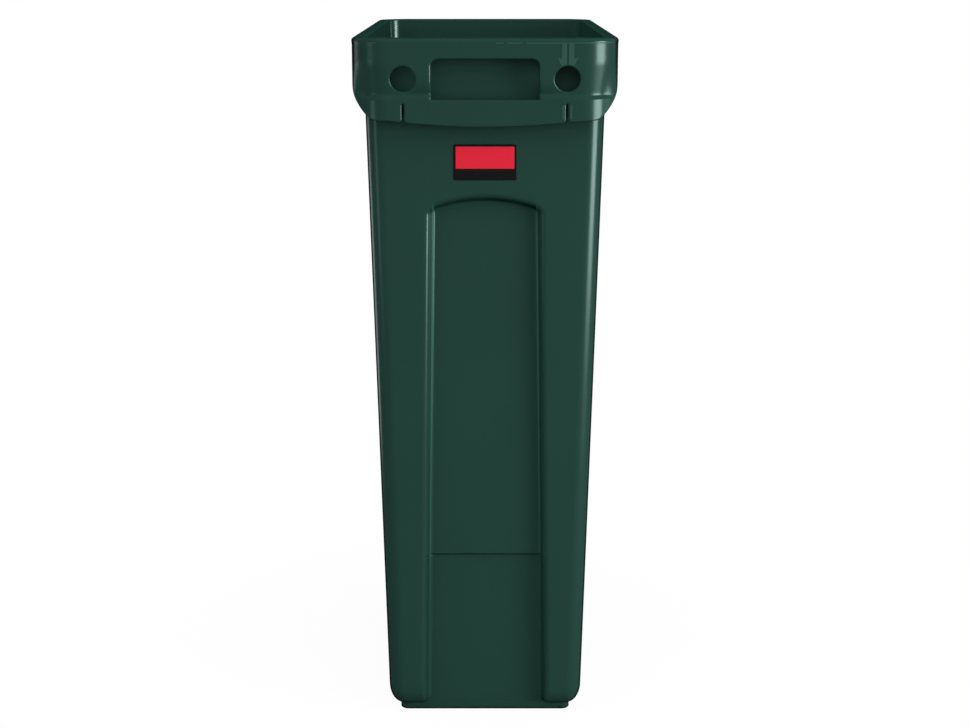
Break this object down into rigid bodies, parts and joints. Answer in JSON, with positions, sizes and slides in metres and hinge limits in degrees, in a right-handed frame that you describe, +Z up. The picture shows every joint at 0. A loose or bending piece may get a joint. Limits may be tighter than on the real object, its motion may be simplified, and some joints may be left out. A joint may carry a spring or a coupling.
{
  "type": "vented waste receptacle",
  "caption": "Slim open-topped bin with a deep rim collar, hand openings, bag-cinch holes, venting channels inside, arch-topped end recesses, a foot ring and a plain label.",
  "frame": {"origin": "middle of the foot ring's footprint, on the floor", "axes": "+Z up, -Y towards the labelled narrow end that the picture shows, +X towards the long side on its right"},
  "size_m": [0.2794, 0.5588, 0.762],
  "materials": {
    "green_plastic": "dark green moulded polyethylene, satin, with a very fine grain",
    "label_black": "black film with a soft gloss",
    "label_red": "plain red print with a soft gloss"
  },
  "bodies": {
    "root": {"container_tub": "green_plastic", "rim_collar": "green_plastic", "base_plinth": "green_plastic", "vent_channel_left_front": "green_plastic", "vent_channel_left_rear": "green_plastic", "vent_channel_right_front": "green_plastic", "vent_channel_right_rear": "green_plastic", "label_plate": "label_black", "label_face": "label_red"}
  },
  "joints": []
}
